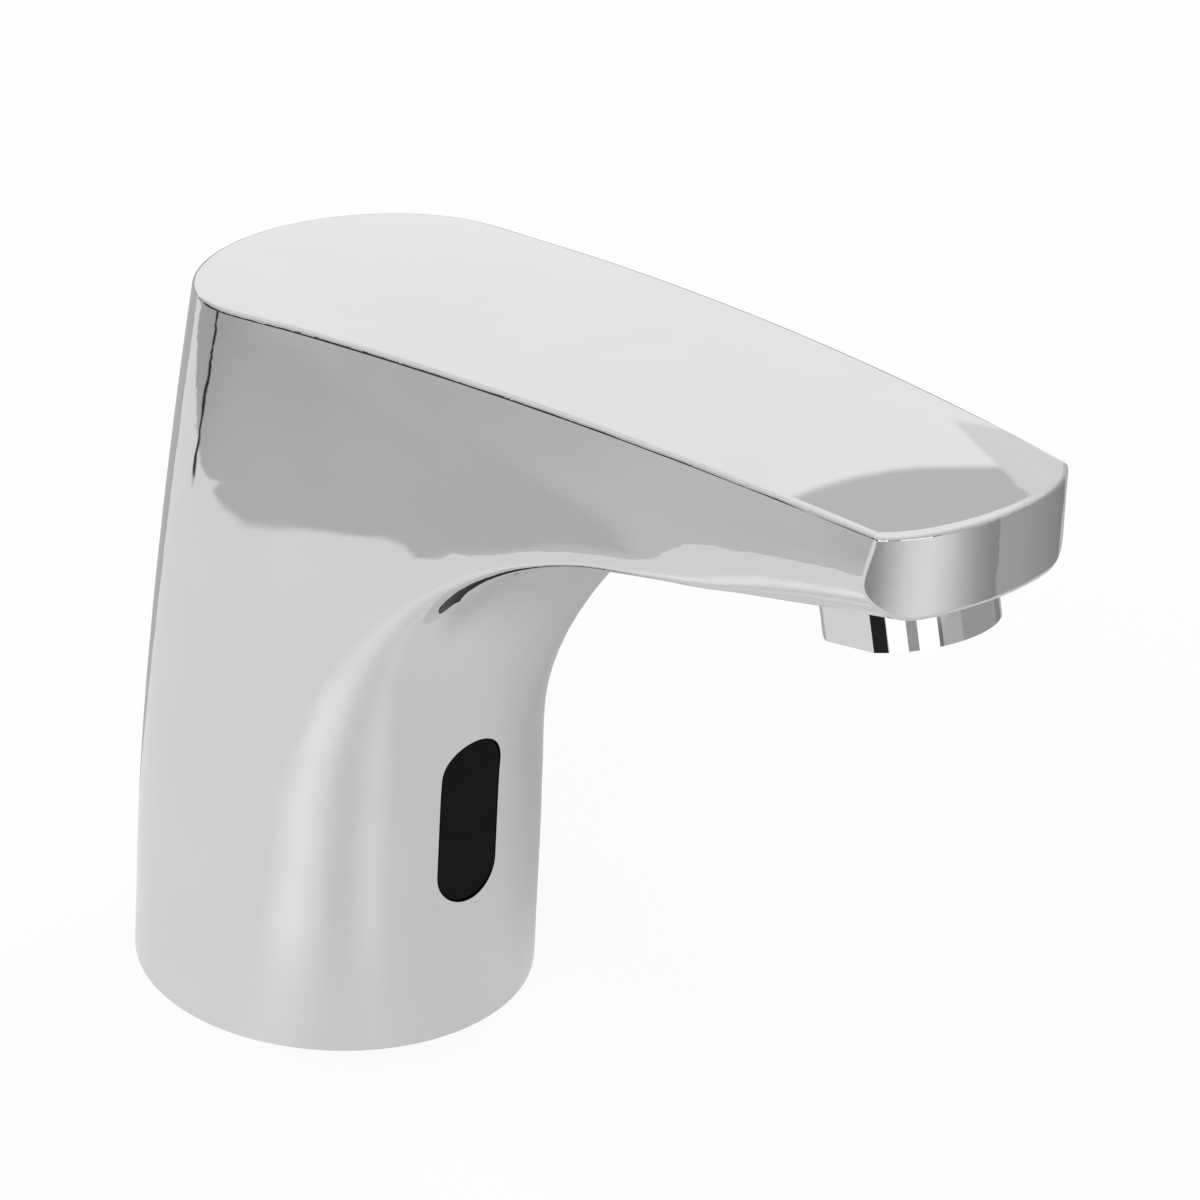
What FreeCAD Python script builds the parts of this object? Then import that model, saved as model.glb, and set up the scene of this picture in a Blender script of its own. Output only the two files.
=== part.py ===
import FreeCAD, Part
import math
import os
import re
import Sketcher

# Deck-mounted sensor tap. Millimetres, +Z up, spout along +X.
# Origin: centre of the base, on the face that rests on the basin or deck.

V = FreeCAD.Vector
UP = V(0, 0, 1)
doc = FreeCAD.newDocument("sensor_tap")
sheet = doc.addObject("Spreadsheet::Sheet", "Sizes")

# Driving sizes. Lengths in mm, angles in degrees.
SIZES = {
    # outer form of the casting
    "base_radius": 29.4,        # round foot of the column
    "shoulder_radius": 23.2,    # back of the spout root, at shoulder_height
    "shoulder_height": 113.0,
    "taper_start": 20.0,        # below this the column is a plain cylinder
    "taper_power": 1.6,         # how the lean-in gathers towards the shoulder
    "flare_start": 40.0,        # front of the column starts to sweep forward
    "outlet_reach": 115.6,      # outlet centre on the underside
    "outlet_height": 116.0,
    "outlet_tilt": 15.6,        # underside and outlet lean forward
    "under_edge": 3.0,          # rounding between the flank and the underside
    "tip_edge": 7.5,            # the same at the tip
    "tip_ahead": 17.9,          # tip in front of the outlet centre
    "tip_half_width": 16.3,
    "nose_depth": 11.4,         # the nose is half an ellipse in plan
    "nose_half_width": 18.9,
    "nose_draft": 8.0,          # the tip widens downwards from the top face
    "nose_round": 1.0,
    "rim_round": 0.9,           # edge of the top face
    "top_height": 113.7,        # top face above the column axis
    "top_rise": 13.3,           # its slope there
    "top_arc": 850.0,           # radius along the spout
    "crown_arc": 250.0,         # radius across the spout
    # hollow of the casting
    "cavity_radius": 25.0,      # machined, up to cavity_shoulder
    "cavity_shoulder": 39.0,
    "wall": 4.6,                # cast wall above the shoulder
    "roof": 4.0,                # cast wall under the top face
    # sensor window in the front of the column
    "window_width": 10.4,
    "window_height": 26.7,
    "window_z": 35.7,
    "window_recess": 0.5,
    "window_thick": 2.0,
    "window_gap": 0.2,
    "gasket_thick": 1.0,
    "gasket_rim": 1.6,
    # sensor module behind the window
    "module_front": 22.6,
    "module_depth": 7.6,
    "module_width": 16.0,
    "module_height": 33.4,
    "module_wall": 1.2,
    "nose_gap": 0.2,
    "board_thick": 1.4,
    "board_gap": 0.3,
    "eye_radius": 2.5,
    "eye_spacing": 14.0,
    "lamp_radius": 1.5,
    "bracket_thick": 1.2,
    "bracket_foot": 8.0,
    # base plate, seal and fixings
    "plate_thick": 5.0,
    "seal_thick": 1.0,
    "stud_radius": 2.5,         # M6 stud, wall of the tapped hole
    "stud_x": 5.0,
    "stud_y": 12.0,
    "cable_x": 17.5,
    "cable_hole_radius": 3.2,
    "grommet_wall": 1.0,
    "grommet_lip": 1.2,
    "boss_radius": 6.0,
    "boss_y": 19.8,
    "boss_height": 14.0,
    "screw_radius": 2.0,
    "screw_head_radius": 3.6,
    "screw_head": 2.4,
    # water way, in line above the inlet
    "valve_x": -9.0,
    "inlet_thread_radius": 4.5,  # M10x1, wall of the tapped hole
    "inlet_thread_depth": 9.0,
    "fitting_radius": 6.9,
    "fitting_flange_radius": 9.5,
    "fitting_flange": 2.0,
    "spigot_radius": 6.5,
    "spigot_height": 10.0,
    "flow_radius": 3.2,
    "filter_wall": 0.4,
    "ring_section": 0.8,        # O-ring cross-section radius
    "valve_radius": 12.5,
    "check_radius": 5.5,
    "check_height": 14.0,
    "check_wall": 1.0,
    "check_lift": 2.5,
    "poppet_radius": 3.6,
    "seat_z": 42.0,
    "seat_radius": 5.0,
    "seat_height": 4.0,
    "piston_radius": 9.4,
    "piston_height": 9.0,
    "piston_lift": 2.0,
    "pad_thick": 1.5,
    "chamber_top": 57.0,
    "bonnet_height": 5.0,
    "bonnet_spigot": 2.0,
    "pilot_radius": 0.7,
    "guide_radius": 4.0,
    "guide_wall": 0.4,
    "plunger_height": 11.0,
    "plunger_lift": 1.5,
    "plunger_pad": 1.0,
    "pole_height": 11.6,
    "bobbin_radius": 9.8,
    "bobbin_wall": 0.8,
    "bobbin_height": 20.0,
    "yoke_thick": 1.4,
    "nut_height": 2.6,
    # outlet tube
    "tube_radius": 4.0,
    "tube_wall": 1.0,
    "tube_x": 8.2,
    "tube_port_z": 39.0,
    "tube_low_bend": 5.0,
    "tube_high_bend": 14.0,
    "tube_high_z": 88.0,
    "tube_rise": 13.3,
    "tube_stop": 15.6,          # its end, behind the outlet centre
    "nozzle_wall": 16.0,        # solid metal behind the outlet centre
    "jet_radius": 2.3,
    # aerator
    "aerator_radius": 12.0,
    "aerator_flats": 22.0,
    "skirt_height": 6.5,
    "shank_height": 6.0,
    "chamber_radius": 9.0,
    "chamber_depth": 4.0,
    "shell_wall": 2.0,
    "lip_radius": 8.6,
    "lip_height": 1.2,
    "insert_wall": 1.0,
    "washer_thick": 1.0,
    "washer_inner": 9.2,
    "screen_thick": 0.5,
    "regulator_thick": 3.0,
    "regulator_bore": 1.2,
    "hole_radius": 0.8,         # rings of outlet holes
    "hole_pitch": 2.47,
    "hole_rings": 3,
    # springs
    "wire_radius": 0.3,
    # fits
    "running": 0.05,            # radial clearance of a sliding or threaded fit
    "loose": 0.3,               # pieces that stay clear of each other
}
for row, (alias, amount) in enumerate(SIZES.items(), start=1):
    sheet.set("A%d" % row, alias)
    sheet.set("B%d" % row, str(amount))
    sheet.setAlias("B%d" % row, alias)
doc.recompute()


def bound(formula):
    """The formula with each size named as a cell of the sheet."""
    return re.sub(r"[a-z_]+", lambda m: "Sizes." + m.group() if m.group() in SIZES else m.group(), str(formula))


def size(formula):
    """The value of a formula in the sheet's sizes."""
    return float(sheet.evalExpression(bound(formula)))


def place(obj, x=0, y=0, z=0, axis=None, angle=0):
    """Puts an object at formulas in the sheet, turned by angle about axis."""
    if axis is not None:
        obj.Placement = FreeCAD.Placement(V(), FreeCAD.Rotation(axis, size(angle)))
        if str(angle) != bound(angle):
            obj.setExpression("Placement.Rotation.Angle", bound(angle))
    for letter, formula in zip("xyz", (x, y, z)):
        obj.setExpression("Placement.Base." + letter, bound(formula))
    return obj


def primitive(kind, label, bindings, *at, **turn):
    obj = doc.addObject("Part::" + kind, label)
    obj.Label = label
    for prop, formula in bindings.items():
        obj.setExpression(prop, bound(formula))
    return place(obj, *at, **turn)


def cylinder(label, radius, height, *at, **turn):
    return primitive("Cylinder", label, {"Radius": radius, "Height": height}, *at, **turn)


def box(label, length, width, height, x, y, z):
    """A box with its low X face at x, centred on y, standing on z."""
    return primitive("Box", label, {"Length": length, "Width": width, "Height": height},
                     x, "%s - (%s) / 2" % (y, width), z)


def ring(label, centre_radius, section, *at, **turn):
    return primitive("Torus", label, {"Radius1": centre_radius, "Radius2": section}, *at, **turn)


def combine(kind, label, first, tools):
    """Cut, Fuse or Common of the first object and the others."""
    if len(tools) > 1:
        group = doc.addObject("Part::MultiFuse", label + "_tools")
        group.Shapes = tools
    else:
        group = tools[0]
    obj = doc.addObject("Part::" + kind, label)
    obj.Label = label
    obj.Base = first
    obj.Tool = group
    return obj


def turned(label, profile, x=0, y=0, z=0, axis=None, angle=0):
    """A turned piece: a Body that revolves a closed outline of (radius, height) formulas."""
    body = doc.addObject("PartDesign::Body", label)
    body.Label = label
    sketch = body.newObject("Sketcher::SketchObject", label + "_outline")
    plane = [f for f in body.Origin.OriginFeatures if f.Role == "XZ_Plane"][0]
    sketch.AttachmentSupport = [(plane, "")]
    sketch.MapMode = "FlatFace"
    points = [V(size(r), size(h), 0) for r, h in profile]
    count = len(points)
    for i, point in enumerate(points):
        sketch.addGeometry(Part.LineSegment(point, points[(i + 1) % count]), False)
    for i in range(count):
        sketch.addConstraint(Sketcher.Constraint("Coincident", i, 2, (i + 1) % count, 1))
    for i, (r, h) in enumerate(profile):
        for kind, formula, value in (("DistanceX", r, points[i].x), ("DistanceY", h, points[i].y)):
            if formula == 0:
                sketch.addConstraint(Sketcher.Constraint("PointOnObject", i, 1, -2 if kind == "DistanceX" else -1))
                continue
            number = sketch.addConstraint(Sketcher.Constraint(kind, -1, 1, i, 1, value))
            sketch.setExpression("Constraints[%d]" % number, bound(formula))
    turn = body.newObject("PartDesign::Revolution", label + "_turn")
    turn.Profile = sketch
    turn.ReferenceAxis = (sketch, ["V_Axis"])
    turn.Angle = 360
    body.Tip = turn
    return place(body, x, y, z, axis, angle)


def made(label, shape):
    """A piece whose shape is worked out in code from the sheet."""
    obj = doc.addObject("Part::Feature", label)
    obj.Label = label
    obj.Shape = shape
    return obj


def stadium(label, width, height, x_from, depth):
    """An upright slot shape, rounded at both ends, that runs along X from x_from."""
    middle = box(label + "_middle", depth, width, "(%s) - (%s)" % (height, width), x_from, "0",
                 "window_z - ((%s) - (%s)) / 2" % (height, width))
    ends = [cylinder(label + "_end_%d" % (i + 1), "(%s) / 2" % width, depth, x_from, 0,
                     "window_z + (%d) * ((%s) - (%s)) / 2" % (side, height, width), axis=V(0, 1, 0), angle=90)
            for i, side in enumerate((-1, 1))]
    slot = doc.addObject("Part::MultiFuse", label)
    slot.Label = label
    slot.Shapes = [middle] + ends
    return slot


# ---- outer form of the casting -------------------------------------------------------------
SINK = math.radians(size("outlet_tilt"))
UNDER_SLOPE = math.tan(SINK)
FLARE_START = size("flare_start")
BASE = size("base_radius")
TIP = size("outlet_reach + tip_ahead")


def blend_radius():
    """Radius of the sweep from the column front into the underside, tangent to both."""
    corner = size("outlet_height") - UNDER_SLOPE * (size("outlet_reach") - BASE)
    return (corner - FLARE_START) / math.tan((math.pi / 2 - SINK) / 2)


BLEND = blend_radius()
BLEND_TOP = FLARE_START + BLEND * math.cos(SINK)


def back_radius(z):
    """Half width of the column, and reach of its back, at height z."""
    low, high = size("taper_start"), size("shoulder_height")
    share = min(max(z - low, 0.0), high - low) / (high - low)
    return BASE - (BASE - size("shoulder_radius")) * share ** size("taper_power")


def front_reach(z):
    """Reach of the front on the centre plane at height z, and its slope there."""
    if z <= FLARE_START:
        return BASE, 0.0
    if z <= BLEND_TOP:
        rise = z - FLARE_START
        run = math.sqrt(BLEND * BLEND - rise * rise)
        return BASE + BLEND - run, rise / run
    return size("outlet_reach") + (z - size("outlet_height")) / UNDER_SLOPE, 1 / UNDER_SLOPE


def ease(share):
    share = min(1.0, max(0.0, share))
    return share * share * (3 - 2 * share)


def top_level(x):
    """Height of the top face on the centre plane."""
    arc, rise = size("top_arc"), math.radians(size("top_rise"))
    return size("top_height") - arc * math.cos(rise) + math.sqrt(arc ** 2 - (x - arc * math.sin(rise)) ** 2)


def draft(z):
    """How much wider the tip is at height z than at its top."""
    return (top_level(TIP) - z) * math.tan(math.radians(size("nose_draft")))


def flank(x, root, z):
    """Half width of the spout x in front of the column axis, at height z."""
    share = x / TIP
    straight = root - (size("shoulder_radius") - size("tip_half_width")) * (0.43 * share + 0.57 * share * share)
    return straight + draft(z) * share ** 4


# points along half a section: back quarter, flank, lower edge, front
BACK, SIDE, EDGE, FRONT = 8, 8, 6, 3
SIDE_TURN, EDGE_TURN, FRONT_TURN = 35.0, 30.0, 25.0


def under_edge(z):
    """Rounding between the flank and the underside, which grows towards the tip."""
    tip_under = size("outlet_height + tip_ahead * tan(outlet_tilt * 1 deg)")
    share = ease((z - BLEND_TOP) / (tip_under - BLEND_TOP))
    return size("under_edge") * (1 - share) + size("tip_edge") * share


def spout_point(k, root, reach, z, along, across):
    """Point k of a section through the spout: straight flank, rounded edge, square front."""
    if k <= SIDE:
        x = (reach - along) * k / SIDE
        return V(x, flank(x, root, z), 0)
    if k <= SIDE + EDGE:
        turn = (k - SIDE) / EDGE * math.pi / 2
        x = reach - along * (1 - math.sin(turn))
        return V(x, flank(x, root, z) - across * (1 - math.cos(turn)), 0)
    edge = spout_point(SIDE + EDGE, root, reach, z, along, across)
    return V(reach, edge.y * (SIDE + EDGE + FRONT - k) / FRONT, 0)


def column_point(k, root, reach):
    """Point k of a round section through the column."""
    if k <= SIDE:
        turn = SIDE_TURN * k / SIDE
    elif k <= SIDE + EDGE:
        turn = SIDE_TURN + EDGE_TURN * (k - SIDE) / EDGE
    else:
        turn = SIDE_TURN + EDGE_TURN + FRONT_TURN * (k - SIDE - EDGE) / FRONT
    turn = math.radians(turn)
    return V(reach * math.sin(turn), root * math.cos(turn), 0)


def section(z, wall=0.0):
    """Closed level outline at height z, wall inside the skin: round below, more and more the spout above."""
    root = back_radius(z) - wall
    reach, slope = front_reach(z)
    reach -= wall * math.hypot(1, slope)
    share = ease((z - FLARE_START) / (BLEND_TOP - FLARE_START))
    across = under_edge(z)
    along = across * math.hypot(1, slope)
    half = []
    for i in range(BACK):
        turn = math.pi / 2 * i / BACK
        half.append(V(-root * math.cos(turn), root * math.sin(turn), 0))
    for k in range(SIDE + EDGE + FRONT + 1):
        half.append(column_point(k, root, reach) * (1 - share)
                    + spout_point(k, root, reach, z, along, across) * share)
    mirrored = [V(p.x, -p.y, 0) for p in reversed(half[1:-1])]
    curve = Part.BSplineCurve()
    curve.interpolate([p + UP * z for p in half + mirrored], PeriodicFlag=True)
    return Part.Wire([curve.toShape()])


def levels():
    """Heights of the sections: six steps up the column, ten through the sweep, then every 4 mm."""
    plain = [FLARE_START * i / 6 for i in range(7)]
    sweep = [FLARE_START + (BLEND_TOP - FLARE_START) * i / 10 for i in range(1, 11)]
    above = [BLEND_TOP + 4.0 * i for i in range(1, 10)]
    return plain + sweep + above


def above_top():
    """Everything above the top face: an arc across the spout, swept round the long arc, and raised."""
    long_arc, crown = size("top_arc"), size("crown_arc")
    rise = math.radians(size("top_rise"))
    centre = V(long_arc * math.sin(rise), 0, size("top_height") - long_arc * math.cos(rise))
    reach_back, reach_front, half_width = -50.0, TIP + 40.0, 40.0
    start = math.asin((reach_back - centre.x) / long_arc)
    stop = math.asin((reach_front - centre.x) / long_arc)
    outward = V(math.sin(start), 0, math.cos(start))
    middle = centre + outward * long_arc
    low = centre + outward * (long_arc - half_width ** 2 / 2 / crown)
    across = Part.Arc(low - V(0, half_width, 0), middle, low + V(0, half_width, 0)).toShape()
    return across.revolve(centre, V(0, 1, 0), math.degrees(stop - start)).extrude(UP * 80)


def nose_block():
    """Upright block whose front is half an ellipse in plan; it runs out sideways past both flanks."""
    depth, half_width = size("nose_depth"), size("nose_half_width")
    centre = V(TIP - depth, 0, -5)
    turn, side, tail = math.radians(12), V(0, 60, 0), V(-220, 0, 0)
    front = Part.Ellipse(centre + V(0, half_width, 0), centre + V(depth, 0, 0), centre)
    far = centre + V(depth * math.sin(turn), half_width * math.cos(turn), 0)
    near = V(far.x, -far.y, far.z)
    corners = [near, near - side, near - side + tail, far + side + tail, far + side, far]
    edges = [Part.LineSegment(a, b).toShape() for a, b in zip(corners, corners[1:])]
    edges.append(Part.ArcOfEllipse(front, turn, math.pi - turn).toShape())
    return Part.Face(Part.Wire(edges)).extrude(UP * 200)


def outer_form():
    solid = Part.makeLoft([section(z) for z in levels()], True, False, False, 5)
    solid = solid.cut(above_top()).common(nose_block())
    nose = [e for e in solid.Edges if e.BoundBox.XMin > size("outlet_reach")
            and e.BoundBox.ZMin < size("outlet_height") + 10 and e.BoundBox.YLength > 2]
    solid = solid.makeFillet(size("nose_round"), nose)
    cap = max(solid.Faces, key=lambda f: f.normalAt(*[sum(f.ParameterRange[i:i + 2]) / 2 for i in (0, 2)]).z * f.Area)
    return solid.makeFillet(size("rim_round"), cap.OuterWire.Edges)


def inner_form():
    """The cored hollow above the machined cavity: the outer form, a wall inside it."""
    solid = Part.makeLoft([section(z, size("wall")) for z in levels() if z > size("cavity_shoulder") - 12],
                          True, False, False, 5)
    ceiling = above_top()
    ceiling.translate(V(0, 0, -size("roof")))
    front = size("outlet_reach - nozzle_wall")
    beyond = Part.makeBox(200, 200, 200, V(front, -100, 0))
    return solid.cut(ceiling).cut(beyond)


casting_form = made("casting_form", outer_form())
cored_hollow = made("cored_hollow", inner_form())


# ---- the outlet tube's route, shared by the tube and by its cored passage ------------------
def route(radius, from_port=True, to_x=None):
    """A round bar along the outlet route: out of the valve, up the column and along the spout."""
    x, low_z, high_z = size("tube_x"), size("tube_port_z"), size("tube_high_z")
    low_bend, high_bend = size("tube_low_bend"), size("tube_high_bend")
    rise = math.radians(size("tube_rise"))
    end_x = size("outlet_reach - tube_stop") if to_x is None else to_x
    turn = math.pi / 2 - rise
    bend_centre = V(x + high_bend, 0, high_z)

    def on_bend(angle):
        return bend_centre + V(-high_bend * math.cos(angle), 0, high_bend * math.sin(angle))

    after = on_bend(turn)
    end = after + V(end_x - after.x, 0, (end_x - after.x) * math.tan(rise))
    edges = []
    if from_port:
        start = V(size("valve_x + seat_radius + 5"), 0, low_z)
        bend_start = V(x - low_bend, 0, low_z)
        bend_end = V(x, 0, low_z + low_bend)
        bend_middle = V(x - low_bend * (1 - math.sin(math.pi / 4)), 0, low_z + low_bend * (1 - math.cos(math.pi / 4)))
        edges += [Part.LineSegment(start, bend_start).toShape(),
                  Part.Arc(bend_start, bend_middle, bend_end).toShape()]
        direction = V(1, 0, 0)
    else:
        start = bend_end = V(x, 0, high_z - 12)
        direction = UP
    edges += [Part.LineSegment(bend_end, V(x, 0, high_z)).toShape(),
              Part.Arc(V(x, 0, high_z), on_bend(turn / 2), after).toShape(),
              Part.LineSegment(after, end).toShape()]
    circle = Part.Wire([Part.makeCircle(radius, start, direction)])
    return Part.Wire(edges).makePipeShell([circle], True, False)


tube_seat = made("tube_seat", route(size("tube_radius + running"), False))
jet = made("jet", route(size("jet_radius"), False, size("outlet_reach - 4")))

# ---- casting -------------------------------------------------------------------------------
FORWARD = V(0, -1, 0)


def along_outlet(shift):
    """Formulas of the point that lies shift up the outlet's own axis from the underside."""
    return ("outlet_reach - (%s) * sin(outlet_tilt * 1 deg)" % shift, 0,
            "outlet_height + (%s) * cos(outlet_tilt * 1 deg)" % shift)


def on_outlet(maker, label, *sizes_and_shift):
    *sizes_given, shift = sizes_and_shift
    return maker(label, *sizes_given, *along_outlet(shift), axis=FORWARD, angle="outlet_tilt")


machined_cavity = cylinder("machined_cavity", "cavity_radius", "cavity_shoulder + 1", 0, 0, -1)
window_slot = stadium("window_slot", "window_width + 2 * window_gap", "window_height + 2 * window_gap",
                      "cavity_radius - 3", 12)
nozzle_bore = on_outlet(cylinder, "nozzle_bore", "aerator_radius + running", "shank_height + 20.5", "-20")
nozzle_chamber = on_outlet(cylinder, "nozzle_chamber", "chamber_radius", "chamber_depth", "shank_height + 0.5")
hollow = combine("Cut", "hollow_casting", casting_form,
                 [machined_cavity, cored_hollow, window_slot, nozzle_bore, nozzle_chamber, tube_seat, jet])
PLATE_TOP = "seal_thick + plate_thick"
bosses = [cylinder("boss_%d" % (i + 1), "boss_radius", "boss_height", 0, "%d * boss_y" % side, PLATE_TOP)
          for i, side in enumerate((-1, 1))]
boss_holes = [cylinder("boss_hole_%d" % (i + 1), "screw_radius + running", "boss_height - 2", 0,
                       "%d * boss_y" % side, PLATE_TOP) for i, side in enumerate((-1, 1))]
boss_limit = cylinder("boss_limit", "cavity_radius + 1", "boss_height", 0, 0, PLATE_TOP)
boss_pair = combine("Common", "boss_pair", combine("Fuse", "boss_solids", bosses[0], bosses[1:]), [boss_limit])
with_bosses = combine("Fuse", "casting_with_bosses", hollow, [boss_pair])
combine("Cut", "body_casting", with_bosses, boss_holes)

# ---- base plate, its seal, screws and grommet ----------------------------------------------
plate = cylinder("plate_disc", "cavity_radius - running", "plate_thick", 0, 0, "seal_thick")
plate_holes = [
    cylinder("plate_inlet", "fitting_radius + running", 20, "valve_x", 0, -1),
    cylinder("plate_cable", "cable_hole_radius + grommet_wall", 20, "cable_x", 0, -1),
]
for i, side in enumerate((-1, 1)):
    plate_holes += [
        cylinder("plate_stud_%d" % (i + 1), "stud_radius", 20, "stud_x", "%d * stud_y" % side, -1),
        cylinder("plate_screw_%d" % (i + 1), "screw_radius + running", 20, 0, "%d * boss_y" % side, -1),
        cylinder("plate_head_%d" % (i + 1), "screw_head_radius + running", "seal_thick + screw_head + 1.05", 0,
                 "%d * boss_y" % side, -1),
    ]
combine("Cut", "base_plate", plate, plate_holes)
seal_disc = cylinder("seal_disc", "cavity_radius - running", "seal_thick", 0, 0, 0)
seal_holes = [
    cylinder("seal_inlet", "fitting_radius + running", 5, "valve_x", 0, -1),
    cylinder("seal_cable", "cable_hole_radius + grommet_wall", 5, "cable_x", 0, -1),
]
for i, side in enumerate((-1, 1)):
    seal_holes += [
        cylinder("seal_stud_%d" % (i + 1), "stud_radius + loose", 5, "stud_x", "%d * stud_y" % side, -1),
        cylinder("seal_screw_%d" % (i + 1), "screw_head_radius + running", 5, 0, "%d * boss_y" % side, -1),
    ]
combine("Cut", "base_seal", seal_disc, seal_holes)


def screw(label, at, head_radius, head, shank_radius, shank, pointing):
    """One screw as a fused head and shank, its head face at a point, its shank along a direction."""
    start = V(*[size(v) for v in at])
    head_solid = Part.makeCylinder(head_radius, head, start, pointing)
    shank_solid = Part.makeCylinder(shank_radius, shank, start + pointing * head, pointing)
    socket = Part.makeCylinder(head_radius * 0.45, head * 0.55, start, pointing)
    return head_solid.fuse(shank_solid).cut(socket)


made("base_plate_screws", Part.makeCompound([
    screw("", (0, "%d * boss_y" % side, "seal_thick"), size("screw_head_radius"), size("screw_head"),
          size("screw_radius"), size("plate_thick - screw_head + boss_height - 4"), UP) for side in (-1, 1)]))

turned("cable_grommet", [("cable_hole_radius", 0), ("cable_hole_radius + grommet_wall - running", 0),
                         ("cable_hole_radius + grommet_wall - running", "plate_thick"),
                         ("cable_hole_radius + grommet_wall + grommet_lip", "plate_thick"),
                         ("cable_hole_radius + grommet_wall + grommet_lip", "plate_thick + 1"),
                         ("cable_hole_radius", "plate_thick + 1")], "cable_x", 0, "seal_thick")

# ---- sensor window, gasket and module ------------------------------------------------------
FACE = "base_radius - window_recess"
window_slab = stadium("window_slab", "window_width", "window_height", "%s - window_thick" % FACE, "window_thick")
window_slab.Label = "sensor_window"
NOSE_WIDTH = "window_width - 2 * nose_gap"
NOSE_HEIGHT = "window_height - 2 * nose_gap"
nose = stadium("module_nose", NOSE_WIDTH, NOSE_HEIGHT, "module_front - 0.5",
               "%s - window_thick - module_front + 0.5" % FACE)
shell = box("module_shell", "module_depth", "module_width", "module_height", "module_front - module_depth", "0",
            "window_z - module_height / 2")
room = box("module_room", "module_depth - module_wall + 1", "module_width - 2 * module_wall",
           "module_height - 2 * module_wall", "module_front - module_depth - 1", "0",
           "window_z - module_height / 2 + module_wall")
X_AXIS = {"axis": V(0, 1, 0), "angle": 90}
eye_bores = [cylinder("eye_bore_%d" % (i + 1), "eye_radius + running", 20, "module_front - module_depth", 0,
                      "window_z + %d * eye_spacing / 2" % side, **X_AXIS) for i, side in enumerate((-1, 1))]
lamp_bore = cylinder("lamp_bore", "lamp_radius + running", 20, "module_front - module_depth", 0, "window_z", **X_AXIS)
housing_solid = combine("Fuse", "housing_solid", shell, [nose])
combine("Cut", "sensor_housing", housing_solid, [room, lamp_bore] + eye_bores)

gasket_out = stadium("gasket_outline", "window_width + 2 * gasket_rim", "window_height + 2 * gasket_rim",
                     "module_front", "gasket_thick")
gasket_in = stadium("gasket_hole", "%s + 2 * running" % NOSE_WIDTH, "%s + 2 * running" % NOSE_HEIGHT,
                    "module_front - 1", 5)
combine("Cut", "window_gasket", gasket_out, [gasket_in])

COVER_X = "module_front - module_depth - module_wall"
box("sensor_cover", "module_wall", "module_width", "module_height", COVER_X, "0", "window_z - module_height / 2")
BOARD_X = "module_front - module_depth + board_gap"
box("circuit_board", "board_thick", "module_width - 2 * module_wall - 2 * running",
    "module_height - 2 * module_wall - 2 * running", BOARD_X, "0",
    "window_z - module_height / 2 + module_wall + running")
EYE_START = "%s + board_thick" % BOARD_X
EYE_LENGTH = "%s - window_thick - loose - (%s)" % (FACE, EYE_START)
for name, side in (("ir_receiver", -1), ("ir_emitter", 1)):
    barrel = cylinder(name + "_barrel", "eye_radius", "%s - eye_radius" % EYE_LENGTH, EYE_START, 0,
                      "window_z + %d * eye_spacing / 2" % side, **X_AXIS)
    dome = primitive("Sphere", name + "_dome", {"Radius": "eye_radius"},
                     "%s + %s - eye_radius" % (EYE_START, EYE_LENGTH), 0, "window_z + %d * eye_spacing / 2" % side)
    combine("Fuse", name, barrel, [dome])
cylinder("status_lamp", "lamp_radius", EYE_LENGTH, EYE_START, 0, "window_z", **X_AXIS)

# bracket: an upright sheet behind the module, with a foot on the base plate
upright = box("bracket_upright", "bracket_thick", "module_width",
              "window_z + module_height / 2 - (%s)" % PLATE_TOP, "%s - bracket_thick" % COVER_X, "0", PLATE_TOP)
foot = box("bracket_foot_sheet", "bracket_foot", "module_width", "bracket_thick",
           "%s - bracket_thick" % COVER_X, "0", PLATE_TOP)
foot_hole = cylinder("bracket_cable_hole", "cable_hole_radius + grommet_wall + grommet_lip + running", 9,
                     "cable_x", 0, 3)
combine("Cut", "module_bracket", combine("Fuse", "bracket_sheet", upright, [foot]), [foot_hole])

# ---- inlet fitting, ring and filter --------------------------------------------------------
FLANGE_TOP = "plate_thick + fitting_flange"
GROOVE = "(%s) + spigot_height / 2" % FLANGE_TOP
turned("inlet_fitting", [
    ("inlet_thread_radius", 0), ("fitting_radius", 0), ("fitting_radius", "plate_thick"),
    ("fitting_flange_radius", "plate_thick"), ("fitting_flange_radius", FLANGE_TOP),
    ("spigot_radius", FLANGE_TOP), ("spigot_radius", "%s - ring_section" % GROOVE),
    ("spigot_radius - 2 * ring_section + running", "%s - ring_section" % GROOVE),
    ("spigot_radius - 2 * ring_section + running", "%s + ring_section" % GROOVE),
    ("spigot_radius", "%s + ring_section" % GROOVE),
    ("spigot_radius", "%s + spigot_height" % FLANGE_TOP), ("flow_radius", "%s + spigot_height" % FLANGE_TOP),
    ("flow_radius", "inlet_thread_depth"), ("inlet_thread_radius", "inlet_thread_depth"),
], "valve_x", 0, "seal_thick")
ring("inlet_ring", "spigot_radius + running - ring_section", "ring_section", "valve_x", 0,
     "seal_thick + %s" % GROOVE)
turned("inlet_filter", [
    (0, 0), ("flow_radius - running", 0), ("flow_radius - running", "spigot_height - 2"),
    ("flow_radius - running - filter_wall", "spigot_height - 2"),
    ("flow_radius - running - filter_wall", "filter_wall"), (0, "filter_wall"),
], "valve_x", 0, "seal_thick + inlet_thread_depth + 0.2")

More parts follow.
